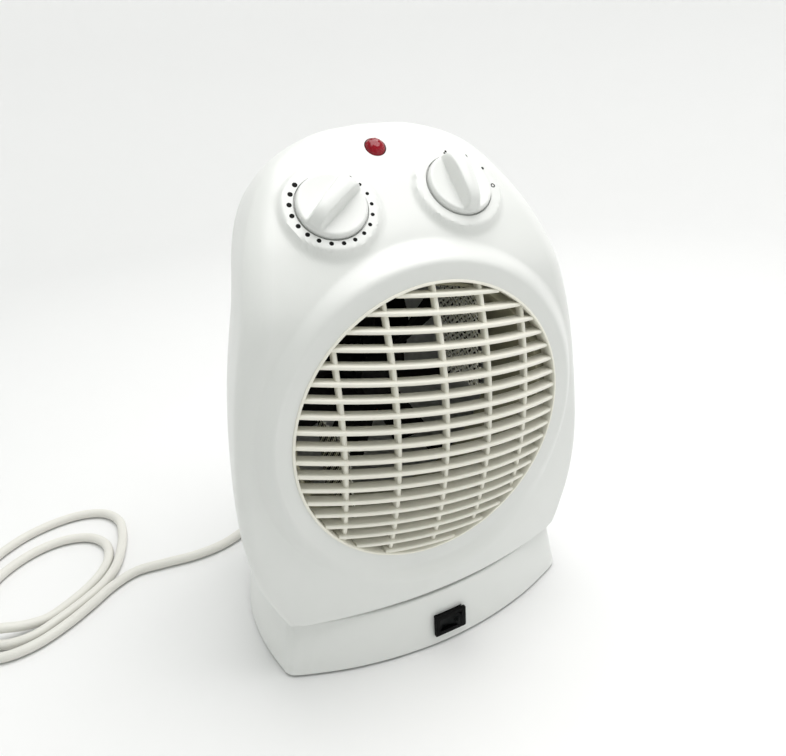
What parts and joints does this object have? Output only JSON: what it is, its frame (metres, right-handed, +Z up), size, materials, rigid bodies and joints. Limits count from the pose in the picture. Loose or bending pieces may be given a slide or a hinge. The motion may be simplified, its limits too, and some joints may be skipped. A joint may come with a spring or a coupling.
{
  "type": "oscillating fan convector heater",
  "caption": "Upright oscillating fan heater: tapered white head with a domed round louvred outlet and two knobs, on a low base with a rocker switch.",
  "frame": {"origin": "on the floor under the middle of the heater, on the axis that the head swings about", "axes": "+Z up; the air outlet faces -Y; +X is to the right of someone who faces the outlet"},
  "size_m": [0.4734, 0.3115, 0.29],
  "materials": {
    "white_plastic": "satin moulded ABS",
    "grille_plastic": "satin",
    "black_plastic": "fine texture",
    "grey_plastic": "moulded",
    "rubber": "matte",
    "steel": "bright",
    "mica": "pressed mica board",
    "copper_winding": "enamelled copper wire",
    "brass": "nickelled brass",
    "red_lens": "faceted",
    "cord_white": "soft PVC"
  },
  "bodies": {
    "base": {"base_cover": "white_plastic", "bottom_plate": "grey_plastic", "foot_front_left": "rubber", "foot_front_right": "rubber", "foot_rear_left": "rubber", "foot_rear_right": "rubber", "base_screw_left": "steel", "base_screw_right": "steel", "base_screw_rear": "steel", "switch_bezel": "black_plastic", "thrust_ring": "black_plastic", "swing_motor": "steel", "terminal_block": "grille_plastic", "tip_switch": "black_plastic", "strain_relief": "cord_white", "power_cord": "cord_white", "cord_coil": "cord_white", "cord_tail": "cord_white", "plug": "cord_white"},
    "head": {"front_housing": "white_plastic", "rear_housing": "white_plastic", "outlet_grille": "grille_plastic", "swivel_plate": "white_plastic", "drive_arm": "steel", "element_duct": "mica", "mica_board_left": "mica", "mica_board_right": "mica", "heating_wire_left": "steel", "heating_wire_right": "steel", "thermal_cutout": "black_plastic", "motor_bracket_front": "steel", "motor_bracket_rear": "steel", "motor_stator": "steel", "motor_coil": "copper_winding", "thermostat": "grey_plastic", "selector_switch": "grey_plastic", "lamp_lens": "red_lens", "lamp_holder": "black_plastic", "housing_screw_left_low": "steel", "housing_screw_right_low": "steel", "housing_screw_left_high": "steel", "housing_screw_right_high": "steel"},
    "fan": {"fan_impeller": "grey_plastic", "motor_shaft": "steel"},
    "thermostat_knob": {"thermostat_knob": "white_plastic"},
    "selector_knob": {"selector_knob": "white_plastic"},
    "rocker": {"rocker": "black_plastic"},
    "crank": {"drive_crank": "grey_plastic"},
    "tip_plunger": {"tip_plunger": "red_lens"}
  },
  "joints": [
    {"name": "head_swing", "type": "hinge", "parent": "base", "child": "head", "pos_m": [0, 0, 0.037], "axis": [0, 0, 1], "range_deg": [-35, 35]},
    {"name": "crank_turn", "type": "hinge", "parent": "base", "child": "crank", "pos_m": [0, 0.026, 0.028], "axis": [0, 0, 1], "range_deg": [-112, 112]},
    {"name": "fan_spin", "type": "hinge", "parent": "head", "child": "fan", "pos_m": [0, 0.014, 0.1441], "axis": [0, 1, 0], "continuous": true},
    {"name": "thermostat_turn", "type": "hinge", "parent": "head", "child": "thermostat_knob", "pos_m": [-0.035, -0.0352, 0.2596], "axis": [0.0492, 0.7213, -0.6909], "range_deg": [-6, 266]},
    {"name": "selector_turn", "type": "hinge", "parent": "head", "child": "selector_knob", "pos_m": [0.035, -0.0352, 0.2596], "axis": [-0.0492, 0.7213, -0.6909], "range_deg": [0, 96]},
    {"name": "rocker_tilt", "type": "hinge", "parent": "base", "child": "rocker", "pos_m": [0, -0.0712, 0.0152], "axis": [0, 0, 1], "range_deg": [0, 16]},
    {"name": "tip_plunger_slide", "type": "slide", "parent": "base", "child": "tip_plunger", "axis": [0, 0, -1], "range_m": [0, 0.003], "stiffness_N_per_m": 20, "springref_m": 0.005}
  ],
  "couplings": [
    {"joint": "crank_turn", "follows": "head_swing", "ratio": 3.2}
  ]
}
